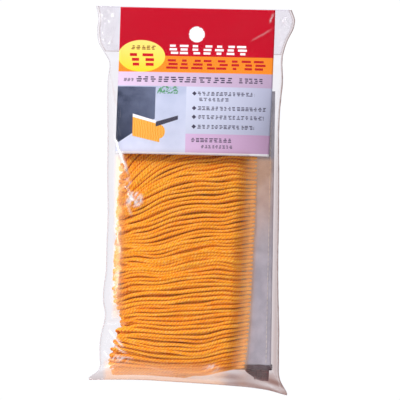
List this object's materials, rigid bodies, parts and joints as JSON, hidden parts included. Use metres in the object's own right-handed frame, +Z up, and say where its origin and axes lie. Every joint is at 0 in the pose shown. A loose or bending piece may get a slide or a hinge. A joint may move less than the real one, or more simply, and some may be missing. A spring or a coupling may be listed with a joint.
{
  "type": "string mop refill in hang bag",
  "caption": "Replacement string-mop head: twisted yarn fringe on a cloth sleeve, in a clear film hang bag with a printed header card.",
  "frame": {"origin": "centre of the punched hang hole, on the header's mid-plane", "axes": "+Z up as the pack hangs, +X to the right seen from the front, +Y from the front of the pack to its back"},
  "size_m": [0.15, 0.043, 0.2837],
  "materials": {
    "clear_film": "gloss",
    "film_weld": "gloss",
    "adhesive": "matte",
    "printed_card": "satin",
    "sleeve_cloth": "matte",
    "hem_tape": "matte",
    "tab_webbing": "matte",
    "thread": "matte",
    "yarn": "matte"
  },
  "bodies": {
    "bag": {"bag_front_film": "clear_film", "bag_back_film": "clear_film", "left_side_weld": "film_weld", "right_side_weld": "film_weld", "bottom_weld": "film_weld"},
    "flap": {"closing_flap": "clear_film", "flap_adhesive_strip": "adhesive"},
    "mop_head": {"back_fringe_1": "yarn", "back_fringe_2": "yarn", "back_fringe_3": "yarn", "back_fringe_4": "yarn", "back_fringe_5": "yarn", "edge_stitching_back": "thread", "edge_stitching_front": "thread", "fringe_seam_back": "thread", "fringe_seam_front": "thread", "front_fringe_1": "yarn", "front_fringe_2": "yarn", "front_fringe_3": "yarn", "front_fringe_4": "yarn", "front_fringe_5": "yarn", "middle_fringe_1": "yarn", "middle_fringe_2": "yarn", "middle_fringe_3": "yarn", "middle_fringe_4": "yarn", "middle_fringe_5": "yarn", "mouth_hem_back": "hem_tape", "mouth_hem_front": "hem_tape", "sleeve_back_panel": "sleeve_cloth", "sleeve_closed_end": "sleeve_cloth", "sleeve_folded_edge": "sleeve_cloth", "sleeve_front_panel": "sleeve_cloth", "sleeve_inner_seam": "sleeve_cloth"},
    "card": {"header_card": "printed_card"},
    "tab": {"closure_tab": "tab_webbing"}
  },
  "joints": [
    {"name": "contents_slide", "type": "slide", "parent": "bag", "child": "mop_head", "axis": [0, 0, 1], "range_m": [0, 0.33], "deforming": ["bag_front_film", "bag_back_film", "closing_flap", "flap_adhesive_strip"]},
    {"name": "card_slide", "type": "slide", "parent": "mop_head", "child": "card", "axis": [0, 0, 1], "range_m": [0, 0.115]},
    {"name": "flap_hinge", "type": "hinge", "parent": "bag", "child": "flap", "pos_m": [-0.0015, 0.002, 0.02], "axis": [1, 0, 0], "range_deg": [0, 165]},
    {"name": "tab_fold", "type": "hinge", "parent": "mop_head", "child": "tab", "pos_m": [0.0505, 0.0032, -0.25135], "axis": [-1, 0, 0], "range_deg": [0, 66]}
  ]
}
